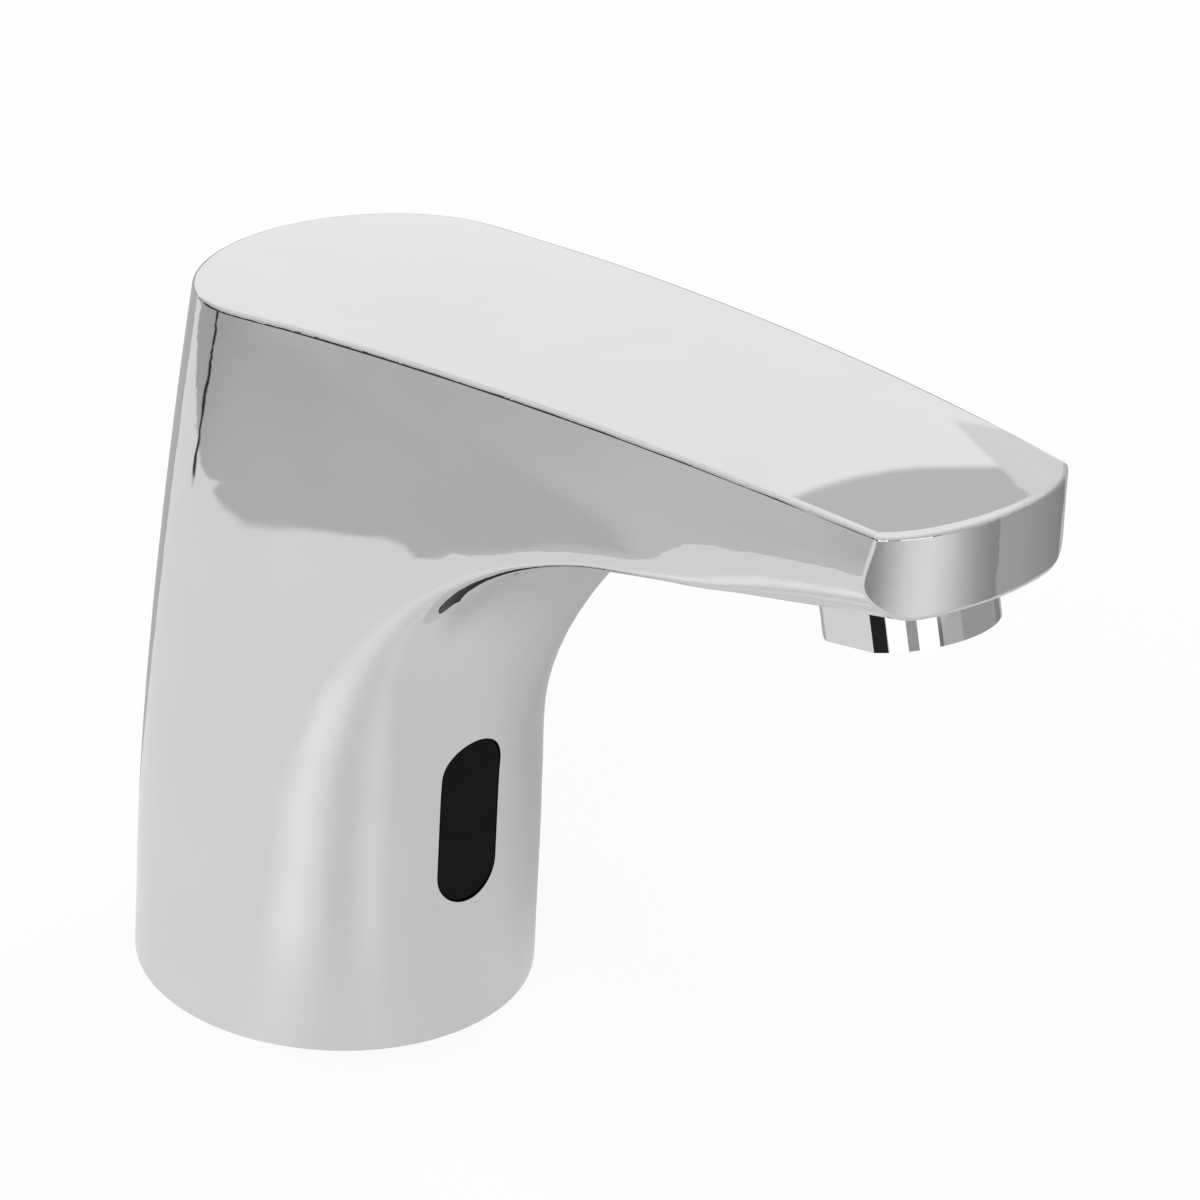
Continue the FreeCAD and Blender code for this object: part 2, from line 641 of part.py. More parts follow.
# ---- valve body ----------------------------------------------------------------------------
VALVE_FOOT = "seal_thick + %s" % FLANGE_TOP
CHECK_FOOT = "(%s + spigot_height)" % VALVE_FOOT
CHECK_TOP = "(%s + check_height)" % CHECK_FOOT
valve_solid = turned("valve_turned", [
    ("spigot_radius + running", VALVE_FOOT), ("valve_radius", VALVE_FOOT), ("valve_radius", "chamber_top"),
    ("piston_radius + 2 * running", "chamber_top"), ("piston_radius + 2 * running", "seat_z - seat_height"),
    ("seat_radius", "seat_z - seat_height"), ("seat_radius", "seat_z"),
    ("flow_radius", "seat_z"), ("flow_radius", CHECK_TOP),
    ("check_radius + running", CHECK_TOP), ("check_radius + running", CHECK_FOOT),
    ("spigot_radius + running", CHECK_FOOT),
], "valve_x", 0, 0)
port = cylinder("valve_port", "tube_radius + running", "valve_radius", "valve_x + seat_radius + 1", 0,
                "tube_port_z", **X_AXIS)
combine("Cut", "valve_body", valve_solid, [port])

# check valve cartridge: cage with its seat below, poppet and spring
POPPET_FOOT = "%s + 3" % CHECK_FOOT
turned("check_cage", [
    ("flow_radius", CHECK_FOOT), ("check_radius", CHECK_FOOT), ("check_radius", CHECK_TOP),
    ("check_radius - check_wall", CHECK_TOP), ("check_radius - check_wall", POPPET_FOOT),
    ("flow_radius", POPPET_FOOT),
], "valve_x", 0, 0)
turned("check_poppet", [
    (0, "%s + running" % POPPET_FOOT), ("poppet_radius", "%s + running" % POPPET_FOOT),
    ("poppet_radius", "%s + 2" % POPPET_FOOT), (1, "%s + 2" % POPPET_FOOT),
    (1, "%s + 5" % POPPET_FOOT), (0, "%s + 5" % POPPET_FOOT),
], "valve_x", 0, 0)


def spring(label, x, low, high, radius, turns):
    """Helical compression spring between two heights, in quarter-turn arcs, its wire clear of both seats."""
    wire = size("wire_radius")
    low, high, radius = size(low) + wire + size("running"), size(high) - wire - size("running"), size(radius)
    rise_per_quarter = (high - low) / (4 * turns)

    def on_helix(quarters):
        turn = math.pi / 2 * quarters
        return V(radius * math.cos(turn), radius * math.sin(turn), rise_per_quarter * quarters)

    arcs = [Part.Arc(on_helix(i), on_helix(i + 0.5), on_helix(i + 1)).toShape() for i in range(4 * turns)]
    along = V(0, math.pi / 2 * radius, rise_per_quarter)
    start = Part.Wire([Part.makeCircle(wire, on_helix(0), along)])
    coil = Part.Wire(arcs).makePipeShell([start], True, False)
    coil.translate(V(size(x), 0, low))
    return made(label, coil)


spring("check_spring", "valve_x", "%s + 2" % POPPET_FOOT, CHECK_TOP, "flow_radius + 0.2", 4)

# ---- servo piston --------------------------------------------------------------------------
PISTON_FOOT = "(seat_z + running)"
PISTON_TOP = "(%s + piston_height)" % PISTON_FOOT
RING_Z = "(%s + piston_height * 0.55)" % PISTON_FOOT
turned("valve_piston", [
    ("pilot_radius", "%s + pad_thick" % PISTON_FOOT), ("seat_radius + 0.6", "%s + pad_thick" % PISTON_FOOT),
    ("seat_radius + 0.6", PISTON_FOOT), ("piston_radius - 1", PISTON_FOOT),
    ("piston_radius - 1", "%s + 2" % PISTON_FOOT), ("piston_radius", "%s + 2" % PISTON_FOOT),
    ("piston_radius", "%s - ring_section" % RING_Z), ("piston_radius - 2 * ring_section", "%s - ring_section" % RING_Z),
    ("piston_radius - 2 * ring_section", "%s + ring_section" % RING_Z), ("piston_radius", "%s + ring_section" % RING_Z),
    ("piston_radius", PISTON_TOP), ("seat_radius + 1", PISTON_TOP),
    ("seat_radius + 1", "%s - 3" % PISTON_TOP), ("pilot_radius", "%s - 3" % PISTON_TOP),
], "valve_x", 0, 0)
turned("piston_pad", [
    ("pilot_radius", PISTON_FOOT), ("seat_radius + 0.5", PISTON_FOOT),
    ("seat_radius + 0.5", "%s + pad_thick" % PISTON_FOOT), ("pilot_radius", "%s + pad_thick" % PISTON_FOOT),
], "valve_x", 0, 0)
ring("piston_ring", "piston_radius + running - ring_section", "ring_section - running / 2", "valve_x", 0, RING_Z)
spring("piston_spring", "valve_x", "%s - 3" % PISTON_TOP, "chamber_top - bonnet_spigot", "seat_radius - 0.5", 4)

# ---- bonnet, guide tube, plunger and pole --------------------------------------------------
BONNET_TOP = "(chamber_top + bonnet_height)"
PILOT_SEAT = "(%s + 1)" % BONNET_TOP
turned("valve_bonnet", [
    ("pilot_radius", "chamber_top - bonnet_spigot"), ("piston_radius", "chamber_top - bonnet_spigot"),
    ("piston_radius", "chamber_top"), ("valve_radius", "chamber_top"), ("valve_radius", BONNET_TOP),
    ("guide_radius - guide_wall - 1", BONNET_TOP), ("guide_radius - guide_wall - 1", "%s - 1" % BONNET_TOP),
    (1.4, "%s - 1" % BONNET_TOP), (1.4, PILOT_SEAT), ("pilot_radius", PILOT_SEAT),
], "valve_x", 0, 0)
PLUNGER_FOOT = "(%s + running)" % PILOT_SEAT
PLUNGER_TOP = "(%s + plunger_height)" % PLUNGER_FOOT
POLE_FOOT = "(%s + plunger_lift + loose)" % PLUNGER_TOP
POLE_TOP = "(%s + pole_height)" % POLE_FOOT
turned("solenoid_plunger", [
    (0, "%s + plunger_pad" % PLUNGER_FOOT), (2, "%s + plunger_pad" % PLUNGER_FOOT), (2, PLUNGER_FOOT),
    ("guide_radius - guide_wall - running", PLUNGER_FOOT),
    ("guide_radius - guide_wall - running", PLUNGER_TOP), (1.9, PLUNGER_TOP),
    (1.9, "%s - 5" % PLUNGER_TOP), (0, "%s - 5" % PLUNGER_TOP),
], "valve_x", 0, 0)
turned("plunger_seal", [(0, PLUNGER_FOOT), (1.9, PLUNGER_FOOT), (1.9, "%s + plunger_pad" % PLUNGER_FOOT),
                       (0, "%s + plunger_pad" % PLUNGER_FOOT)], "valve_x", 0, 0)
spring("plunger_spring", "valve_x", "%s - 5" % PLUNGER_TOP, POLE_FOOT, 1.4, 6)
turned("guide_tube", [
    ("guide_radius - guide_wall", BONNET_TOP), ("guide_radius", BONNET_TOP), ("guide_radius", POLE_TOP),
    ("guide_radius - guide_wall", POLE_TOP),
], "valve_x", 0, 0)
turned("pole_piece", [(0, POLE_FOOT), ("guide_radius - guide_wall - running", POLE_FOOT),
                      ("guide_radius - guide_wall - running", POLE_TOP), (0, POLE_TOP)], "valve_x", 0, 0)

# ---- coil, bobbin, yoke and nut ------------------------------------------------------------
YOKE_FOOT = BONNET_TOP
BOBBIN_FOOT = "(%s + yoke_thick)" % YOKE_FOOT
BOBBIN_TOP = "(%s + bobbin_height)" % BOBBIN_FOOT
HUB = "guide_radius + running"
turned("coil_bobbin", [
    (HUB, BOBBIN_FOOT), ("bobbin_radius", BOBBIN_FOOT), ("bobbin_radius", "%s + bobbin_wall" % BOBBIN_FOOT),
    ("guide_radius + bobbin_wall", "%s + bobbin_wall" % BOBBIN_FOOT),
    ("guide_radius + bobbin_wall", "%s - bobbin_wall" % BOBBIN_TOP),
    ("bobbin_radius", "%s - bobbin_wall" % BOBBIN_TOP), ("bobbin_radius", BOBBIN_TOP), (HUB, BOBBIN_TOP),
], "valve_x", 0, 0)
turned("solenoid_coil", [
    ("guide_radius + bobbin_wall", "%s + bobbin_wall" % BOBBIN_FOOT),
    ("bobbin_radius - 0.5", "%s + bobbin_wall" % BOBBIN_FOOT),
    ("bobbin_radius - 0.5", "%s - bobbin_wall" % BOBBIN_TOP),
    ("guide_radius + bobbin_wall", "%s - bobbin_wall" % BOBBIN_TOP),
], "valve_x", 0, 0)
YOKE_WIDTH = "bobbin_radius * 1.4"
yoke_plates = [box("yoke_plate_%d" % (i + 1), "bobbin_radius * 2 + yoke_thick + loose", YOKE_WIDTH, "yoke_thick",
                   "valve_x - bobbin_radius", "0", height)
               for i, height in enumerate((YOKE_FOOT, BOBBIN_TOP))]
yoke_back = box("yoke_back", "yoke_thick", YOKE_WIDTH, "bobbin_height + 2 * yoke_thick",
                "valve_x + bobbin_radius + loose", "0", YOKE_FOOT)
yoke_sheet = combine("Fuse", "yoke_sheet", yoke_plates[0], [yoke_plates[1], yoke_back])
combine("Cut", "coil_yoke", yoke_sheet, [cylinder("yoke_hole", HUB, 60, "valve_x", 0, "%s - 5" % YOKE_FOOT)])
YOKE_TOP = "(%s + yoke_thick)" % BOBBIN_TOP
nut = primitive("Prism", "nut_blank", {"Circumradius": "guide_radius + 3", "Height": "nut_height"},
                "valve_x", 0, YOKE_TOP)
nut.Polygon = 6
combine("Cut", "coil_nut", nut, [cylinder("nut_hole", HUB, 20, "valve_x", 0, "%s - 5" % YOKE_TOP)])

# ---- outlet tube ---------------------------------------------------------------------------
made("outlet_tube", route(size("tube_radius")).cut(route(size("tube_radius - tube_wall"))))

# ---- aerator: shell, washer, insert, regulator and screen, in the outlet's own tilted frame ----
shell_turned = on_outlet(turned, "aerator_turned", [
    ("lip_radius", "-skirt_height"), ("aerator_radius", "-skirt_height"), ("aerator_radius", "shank_height"),
    ("aerator_radius - shell_wall", "shank_height"), ("aerator_radius - shell_wall", "lip_height - skirt_height"),
    ("lip_radius", "lip_height - skirt_height"),
], "0")
flat_cuts = []
for i, side in enumerate((-1, 1)):
    cutter = primitive("Box", "flat_cut_%d" % (i + 1), {"Length": 40, "Width": 5, "Height": "skirt_height - 0.8"},
                       axis=FORWARD, angle="outlet_tilt")
    tilt_sin, tilt_cos = "sin(outlet_tilt * 1 deg)", "cos(outlet_tilt * 1 deg)"
    place(cutter, "outlet_reach + (skirt_height) * %s - 20 * %s" % (tilt_sin, tilt_cos),
          "%d * (aerator_flats / 2 + 2.5) - 2.5" % side,
          "outlet_height - (skirt_height) * %s - 20 * %s" % (tilt_cos, tilt_sin))
    flat_cuts.append(cutter)
combine("Cut", "aerator_shell", shell_turned, flat_cuts)
INSERT_FOOT = "lip_height - skirt_height"
INSERT_RADIUS = "aerator_radius - shell_wall - running"
insert_turned = on_outlet(turned, "insert_turned", [
    (0, INSERT_FOOT), (INSERT_RADIUS, INSERT_FOOT), (INSERT_RADIUS, "shank_height - 1"),
    ("%s - insert_wall" % INSERT_RADIUS, "shank_height - 1"),
    ("%s - insert_wall" % INSERT_RADIUS, "%s + 2" % INSERT_FOOT), (0, "%s + 2" % INSERT_FOOT),
], "0")


def outlet_holes():
    """Rings of small outlet holes through the floor of the insert."""
    tilt = math.radians(size("outlet_tilt"))
    up = V(-math.sin(tilt), 0, math.cos(tilt))
    side = V(math.cos(tilt), 0, math.sin(tilt))
    low = V(size("outlet_reach"), 0, size("outlet_height")) + up * (size(INSERT_FOOT) - 1)
    holes = []
    radius = size("hole_radius")
    holes.append(Part.makeCylinder(radius, 4, low, up))
    for lap in range(1, int(size("hole_rings")) + 1):
        out = lap * size("hole_pitch")
        for i in range(6 * lap):
            turn = 2 * math.pi * i / (6 * lap)
            at = low + side * (out * math.cos(turn)) + V(0, out * math.sin(turn), 0)
            holes.append(Part.makeCylinder(radius, 4, at, up))
    return Part.makeCompound(holes)


combine("Cut", "aerator_insert", insert_turned, [made("outlet_holes", outlet_holes())])
CUP = "%s - insert_wall - running" % INSERT_RADIUS
on_outlet(cylinder, "screen_pack", CUP, "screen_thick", "%s + 2" % INSERT_FOOT)
on_outlet(turned, "flow_regulator", [
    ("regulator_bore", "%s + 2 + screen_thick" % INSERT_FOOT), (CUP, "%s + 2 + screen_thick" % INSERT_FOOT),
    (CUP, "%s + 2 + screen_thick + regulator_thick" % INSERT_FOOT),
    ("regulator_bore", "%s + 2 + screen_thick + regulator_thick" % INSERT_FOOT),
], "0")
on_outlet(turned, "aerator_washer", [
    ("washer_inner", "shank_height - 1"), (INSERT_RADIUS, "shank_height - 1"), (INSERT_RADIUS, "shank_height"),
    ("aerator_radius", "shank_height"), ("aerator_radius", "shank_height + 0.5"),
    ("washer_inner", "shank_height + 0.5"),
], "0")

# ---- check and write -----------------------------------------------------------------------
doc.recompute()
NODES = """body_casting base_plate base_seal base_plate_screws cable_grommet sensor_window window_gasket
sensor_housing sensor_cover circuit_board ir_emitter ir_receiver status_lamp module_bracket inlet_fitting
inlet_ring inlet_filter valve_body check_cage check_poppet check_spring valve_piston piston_pad piston_ring
piston_spring valve_bonnet solenoid_plunger plunger_seal plunger_spring guide_tube pole_piece coil_bobbin
solenoid_coil coil_yoke coil_nut outlet_tube aerator_shell aerator_insert screen_pack flow_regulator
aerator_washer""".split()
for obj in doc.Objects:
    bad = [word for word in obj.State if word in ("Invalid", "Error")]
    if bad:
        raise RuntimeError("%s is %s" % (obj.Label, bad))
os.makedirs("parts", exist_ok=True)
for node in NODES:
    found = doc.getObjectsByLabel(node)
    if len(found) != 1:
        raise RuntimeError("%d objects are labelled %s" % (len(found), node))
    shape = found[0].Shape
    if shape.isNull() or not shape.isValid() or not shape.Solids:
        raise RuntimeError(node + " has no valid solid")
    shape.exportStep("parts/%s.step" % node)
    print("%-18s %d solid(s) %10.1f mm3" % (node, len(shape.Solids), shape.Volume))
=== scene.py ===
# %% [markdown]
# # A touch-free basin tap, dressed in its finishes
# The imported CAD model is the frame: it has every piece at its real place, in metres.
# This script gives the pieces their looks: chrome on the casting, dyed acrylic in the
# sensor window, brass, steel and plastics inside, and a studio around it all.

# %% Load the frame
import math

import bpy
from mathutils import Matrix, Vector


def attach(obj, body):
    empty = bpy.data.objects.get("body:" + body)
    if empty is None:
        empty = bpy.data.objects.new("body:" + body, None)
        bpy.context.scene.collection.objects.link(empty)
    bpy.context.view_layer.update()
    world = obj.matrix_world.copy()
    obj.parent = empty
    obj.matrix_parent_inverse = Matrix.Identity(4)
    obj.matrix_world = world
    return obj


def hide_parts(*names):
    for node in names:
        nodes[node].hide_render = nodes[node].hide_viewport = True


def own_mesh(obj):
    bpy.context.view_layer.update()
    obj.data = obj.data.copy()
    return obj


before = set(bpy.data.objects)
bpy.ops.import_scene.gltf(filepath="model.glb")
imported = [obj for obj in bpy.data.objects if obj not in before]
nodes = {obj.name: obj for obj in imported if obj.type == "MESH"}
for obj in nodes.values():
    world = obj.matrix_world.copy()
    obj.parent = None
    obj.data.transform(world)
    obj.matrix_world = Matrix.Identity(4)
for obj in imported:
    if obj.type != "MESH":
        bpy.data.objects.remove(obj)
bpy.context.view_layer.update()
MM = 0.001
scene = bpy.context.scene
print("pieces in the frame:", len(nodes))

# %% [markdown]
# ## The camera
# A long lens from a good metre away keeps the tap's lines almost parallel, as in a catalogue picture.
# The place and the roll were worked out from the round foot, the outlet ring and the window together.

# %% Camera
CAMERA_AT = Vector((865.647, -719.280, 703.608)) * MM
AZIMUTH, ELEVATION, ROLL = (math.radians(a) for a in (48.428, 29.757, 3.075))
SENSOR, LENS = 36.0, 270.0


def camera_axes(azimuth, elevation, roll):
    """Right, up and back of a camera that looks at the tap, turned about its own view by roll."""
    right = Vector((math.cos(azimuth), math.sin(azimuth), 0))
    back = Vector((math.sin(azimuth) * math.cos(elevation), -math.cos(azimuth) * math.cos(elevation),
                   math.sin(elevation)))
    up = back.cross(right)
    return (math.cos(roll) * right + math.sin(roll) * up, math.cos(roll) * up - math.sin(roll) * right, back)


camera = bpy.data.objects.new("camera", bpy.data.cameras.new("camera"))
camera.data.sensor_width = SENSOR
camera.data.lens = LENS
camera.data.clip_end = 20
rotation = camera.matrix_world.to_3x3()
for column, axis in enumerate(camera_axes(AZIMUTH, ELEVATION, ROLL)):
    rotation.col[column] = axis
camera.matrix_world = rotation.to_4x4()
camera.location = CAMERA_AT
scene.collection.objects.link(camera)
scene.camera = camera
scene.view_settings.view_transform = "Standard"
print("camera at", [round(v, 3) for v in camera.location], "m")

# %% [markdown]
# ## Helpers for shader nodes
# Every finish below is a small network of nodes. These helpers add a node and wire it in one line.

# %% Node helpers
def add(tree, kind, inputs=None, **settings):
    """Adds a node, sets its properties, and fills its inputs with values or links."""
    node = tree.nodes.new(kind)
    for name, value in settings.items():
        setattr(node, name, value)
    for name, value in (inputs or {}).items():
        if isinstance(value, bpy.types.NodeSocket):
            tree.links.new(value, node.inputs[name])
        else:
            node.inputs[name].default_value = value
    return node


def maths(tree, operation, *values):
    """A Math node's result."""
    return add(tree, "ShaderNodeMath", dict(enumerate(values)), operation=operation).outputs[0]


def vector(tree, x=0.0, y=0.0, z=0.0):
    """A vector from three numbers."""
    return add(tree, "ShaderNodeCombineXYZ", {"X": x, "Y": y, "Z": z}).outputs[0]


def ramp(tree, factor, low, high, to_low=0.0, to_high=1.0):
    """Smooth change from to_low to to_high as factor goes from low to high."""
    return add(tree, "ShaderNodeMapRange", {"Value": factor, "From Min": low, "From Max": high,
                                            "To Min": to_low, "To Max": to_high},
               interpolation_type="SMOOTHSTEP").outputs["Result"]


def band(tree, value, centre, full, gone, gain=1.0):
    """As much as gain within full of the centre, and nothing from gone on."""
    off = maths(tree, "ABSOLUTE", maths(tree, "SUBTRACT", value, centre))
    return ramp(tree, off, full, gone, to_low=gain, to_high=0.0)


def mix(tree, factor, first, second):
    """Blend of two numbers."""
    return add(tree, "ShaderNodeMix", {"Factor": factor, "A": first, "B": second}).outputs["Result"]


# %% [markdown]
# ## The studio
# Polished chrome has no colour of its own: it shows the room. The room here is a white tent, with a few
# grey and black cards, as a product photographer would place them to draw the edges of the metal.
# The camera sees plain white behind the tap. The mirror finish sees the tent and the cards.
#
# The tent is lined with grey cloth. Behind the tap the cloth ends at a slanted edge, with white below it.
# In all other directions it is a lighter grey from about 15 degrees up. Overhead the tent is white again.

# %% World: a white tent
TENT_WHITE, TENT_GREY, TENT_LIGHT_GREY = 0.975, 0.60, 0.80
EDGE_SLOPE, EDGE_START, EDGE_SOFT = 0.905, -1.848, 0.004  # the edge rises with the turn about the tap
UPPER_TURN, UPPER_HEIGHT = (2.3995, 2.3965), (0.262, 0.272)  # where the lighter grey fades in
OVERHEAD = (0.55, 0.75)  # heights between which the cloth fades to white
AMBIENT, BACKDROP = 0.55, 1.0

world = bpy.data.worlds.new("white_tent")
world.use_nodes = True
tree = world.node_tree
tree.nodes.clear()
direction = add(tree, "ShaderNodeTexCoord").outputs["Generated"]
axes = add(tree, "ShaderNodeSeparateXYZ", {"Vector": direction}).outputs
height = axes["Z"]
side = maths(tree, "ARCTAN2", axes["Y"], axes["X"])
edge = maths(tree, "MULTIPLY_ADD", side, EDGE_SLOPE, EDGE_START)
above = maths(tree, "SUBTRACT", height, edge)
tent = ramp(tree, above, -EDGE_SOFT, EDGE_SOFT, TENT_WHITE, TENT_GREY)
upper = maths(tree, "MULTIPLY", ramp(tree, side, *UPPER_TURN), ramp(tree, height, *UPPER_HEIGHT))
tent = mix(tree, upper, tent, TENT_LIGHT_GREY)
tent = mix(tree, ramp(tree, height, *OVERHEAD), tent, TENT_WHITE)
rays = add(tree, "ShaderNodeLightPath").outputs
seen = maths(tree, "MAXIMUM", rays["Is Camera Ray"], rays["Is Transmission Ray"])
light = mix(tree, rays["Is Glossy Ray"], AMBIENT, tent)
light = mix(tree, seen, light, BACKDROP)
background = add(tree, "ShaderNodeBackground", {"Strength": light, "Color": (1, 1, 1, 1)})
add(tree, "ShaderNodeOutputWorld", {"Surface": background.outputs[0]})
scene.world = world
print("world:", world.name)

# %% [markdown]
# ## The floor
# The tap stands on white paper. Lit paper would look grey beside the backdrop, so to the camera most of it
# is an even white glow. The rest is true paper, which keeps a faint shadow round the foot.

# %% Stage pieces
def plate(name, corners, z=0.0):
    """A flat stage piece from the corners of its outline, in millimetres."""
    mesh = bpy.data.meshes.new(name)
    points = [(x * MM, y * MM, z * MM) for x, y in corners]
    mesh.from_pydata(points, [], [tuple(range(len(points)))])
    piece = bpy.data.objects.new(name, mesh)
    scene.collection.objects.link(piece)
    return piece


def material(name):
    """An empty node material and its tree."""
    made = bpy.data.materials.new(name)
    made.use_nodes = True
    made.node_tree.nodes.clear()
    return made, made.node_tree


FLOOR_HALF, FLOOR_Z, FLOOR_GLOW = 3000, -0.05, 0.88
floor = plate("floor", [(x * FLOOR_HALF, y * FLOOR_HALF) for x, y in ((-1, -1), (1, -1), (1, 1), (-1, 1))],
              z=FLOOR_Z)
floor_paper, tree = material("floor_paper")
paper = add(tree, "ShaderNodeBsdfDiffuse", {"Color": (0.80, 0.80, 0.80, 1)})
to_camera = add(tree, "ShaderNodeLightPath").outputs["Is Camera Ray"]
glow = add(tree, "ShaderNodeEmission", {"Strength": 1.0})
shaded = add(tree, "ShaderNodeMixShader", {"Fac": maths(tree, "MULTIPLY", to_camera, FLOOR_GLOW),
                                           1: paper.outputs[0], 2: glow.outputs[0]})
add(tree, "ShaderNodeOutputMaterial", {"Surface": shaded.outputs[0]})
floor.data.materials.append(floor_paper)
print("floor:", 2 * FLOOR_HALF, "mm square")

# %% [markdown]
# ## Cards on the table
# These lie on the table and only the mirror finish sees them. One wide light card makes the ground tone of
# the column. A mid grey patch painted on it fills the flank of the spout, and a black strip across the
# patch gives a thin dark line. Two more cards lie on it: a dark one far out, and one in front of the nose.

# %% Card helpers
def card(name, corners, z, strength):
    """A card that only shows in reflections. Its strength is a number, or a function that builds its tone."""
    piece = plate(name, corners, z)
    piece.visible_camera = piece.visible_diffuse = piece.visible_shadow = False
    paint, tree = material(name)
    if not isinstance(strength, (int, float)):
        strength = strength(tree)
    add(tree, "ShaderNodeOutputMaterial",
        {"Surface": add(tree, "ShaderNodeEmission", {"Strength": strength}).outputs[0]})
    piece.data.materials.append(paint)
    print("card:", name)


def sector(inner, outer, start, stop, steps=24):
    """Outline of a ring sector around the tap, angles in degrees from the spout's direction."""
    turns = [math.radians(start + (stop - start) * i / steps) for i in range(steps + 1)]
    return ([(outer * math.cos(t), outer * math.sin(t)) for t in turns]
            + [(inner * math.cos(t), inner * math.sin(t)) for t in reversed(turns)])


def table_point(tree):
    """X and Y of the shaded point of a flat card, in metres. The near side of the tap is minus Y."""
    spot = add(tree, "ShaderNodeTexCoord").outputs["Object"]
    at = add(tree, "ShaderNodeSeparateXYZ", {"Vector": spot}).outputs
    return at["X"], at["Y"]


def slanted(tree, x, y, of_x, of_y, shift):
    """How far a point lies from a slanted line."""
    return maths(tree, "MULTIPLY_ADD", x, of_x, maths(tree, "MULTIPLY_ADD", y, of_y, shift))


# %% Flank patch
PATCH_SIDE, PATCH_FRONT = -0.166, (-0.044, -0.047)  # where the patch ends towards the tap
BEND_FROM, BEND_SLOPE, BEND_LIMIT = -0.150, 1.25, -0.02  # its side edge turns in behind the column
STRIP_LINE, STRIP_CROSS = (0.663, -0.749, 0.0428), (-0.749, -0.663, -0.2039)
STRIP_MIDDLE, STRIP_TONE = 0.052, 0.02


def flank_patch(tree, x, y):
    """Mask and tone of the grey patch: lighter towards the tip, softer-edged far from it."""
    bend = maths(tree, "MAXIMUM", maths(tree, "SUBTRACT", BEND_FROM, x), 0.0)
    side_edge = maths(tree, "MINIMUM", maths(tree, "MULTIPLY_ADD", bend, BEND_SLOPE, PATCH_SIDE), BEND_LIMIT)
    inside = maths(tree, "SUBTRACT", side_edge, y)
    soft = ramp(tree, x, -0.20, -0.12, to_low=0.014, to_high=0.006)
    mask = maths(tree, "MULTIPLY", ramp(tree, maths(tree, "DIVIDE", inside, soft), -0.5, 0.5),
                 ramp(tree, x, *PATCH_FRONT))
    tone = maths(tree, "ADD", ramp(tree, x, -0.25, -0.14, to_low=0.43, to_high=0.535),
                 ramp(tree, x, -0.11, -0.06, to_low=0.0, to_high=0.09))
    strip = maths(tree, "MULTIPLY", band(tree, slanted(tree, x, y, *STRIP_LINE), 0.0, full=0.001, gone=0.010),
                  band(tree, slanted(tree, x, y, *STRIP_CROSS), STRIP_MIDDLE, full=0.050, gone=0.060))
    return maths(tree, "MAXIMUM", mask, strip), mix(tree, strip, tone, STRIP_TONE)


# %% Tones and cards
STREAKS = ((-1.03, 0.30, 0.17), (-0.68, 0.17, -0.05), (-0.42, 0.20, 0.09))  # turn, half width, gain
CUT = (0.455, 0.462)  # turn at which the far side of the nose's card begins


def table_tone(tree):
    """The table is lightest on the left and dims to the right, with soft streaks close to the column."""
    x, y = table_point(tree)
    turn = maths(tree, "ARCTAN2", y, x)
    away = maths(tree, "SQRT", maths(tree, "MULTIPLY_ADD", x, x, maths(tree, "MULTIPLY", y, y)))
    tone = ramp(tree, turn, -1.4, 0.0, to_low=0.81, to_high=0.69)
    tone = maths(tree, "SUBTRACT", tone, ramp(tree, turn, 0.5, 1.6, to_low=0.0, to_high=0.20))
    near = maths(tree, "MULTIPLY", ramp(tree, away, 0.10, 0.16, to_low=1.0, to_high=0.0),
                 ramp(tree, away, 0.040, 0.068, to_low=0.3, to_high=1.0))
    for centre, width, gain in STREAKS:
        tone = maths(tree, "MULTIPLY_ADD", band(tree, turn, centre, 0.0, width, gain), near, tone)
    mask, grey = flank_patch(tree, x, y)
    return mix(tree, mask, tone, grey)


def nose_tone(tree):
    """In front of the nose: a round glow to the near side, and a plain dim tone, sharply cut, to the far."""
    x, y = table_point(tree)
    turn = maths(tree, "ARCTAN2", y, x)
    left = ramp(tree, turn, -0.82, -0.087, to_low=0.30, to_high=0.86)
    right = ramp(tree, turn, -0.087, 0.44, to_low=0.0, to_high=0.56)
    glow = maths(tree, "SUBTRACT", left, right)
    far = ramp(tree, turn, 0.46, 1.4, to_low=0.41, to_high=0.26)
    return mix(tree, ramp(tree, turn, *CUT), glow, far)


TABLE_STEPS = 72
disc = sector(inner=0, outer=3000, start=-180, stop=180, steps=TABLE_STEPS)[:TABLE_STEPS + 1]  # its outer arc
card("table_light", disc, 0.0, table_tone)
card("far_dark", sector(inner=430, outer=2900, start=-168, stop=-98), 0.1, 0.05)
card("nose_card", sector(inner=230, outer=425, start=-52, stop=82), 0.1, nose_tone)

# %% [markdown]
# ## Stripes round the outlet ring
# The ring under the tip is small, and the photo shows it as crisp upright bars, black, white and grey. Flat
# wedges that point at the ring's middle give them, because each of their long edges is mirrored as a line.

# %% Stripes
RING_AT = 115  # mm from the column's axis to the ring's
STRIPES = (  # name, start and stop in degrees, brightness
    ("black_1", -88, -69, 0.02), ("white_1", -68, -45, 1.3), ("grey_1", -45, -32, 0.37),
    ("white_2", -32, -7, 1.35), ("dark_2", -7, -2, 0.20), ("grey_2", -2, 25, 0.50), ("grey_3", 25, 96, 0.38))
for name, start, stop, strength in STRIPES:
    outline = [(RING_AT + x, y) for x, y in sector(340, 2700, start, stop)]
    card("stripe_" + name, outline, 0.15, strength)

# %% [markdown]
# ## Lamps
# The tent lights the tap evenly. Three soft boxes add direction for what isn't a mirror: the paper, the
# window, rubber and plastics. The chrome doesn't see them, or each would be a bright square in it.

# %% Lamps
TAP_MIDDLE, LAMP_SIZE = Vector((0.04, 0, 0.06)), 0.9


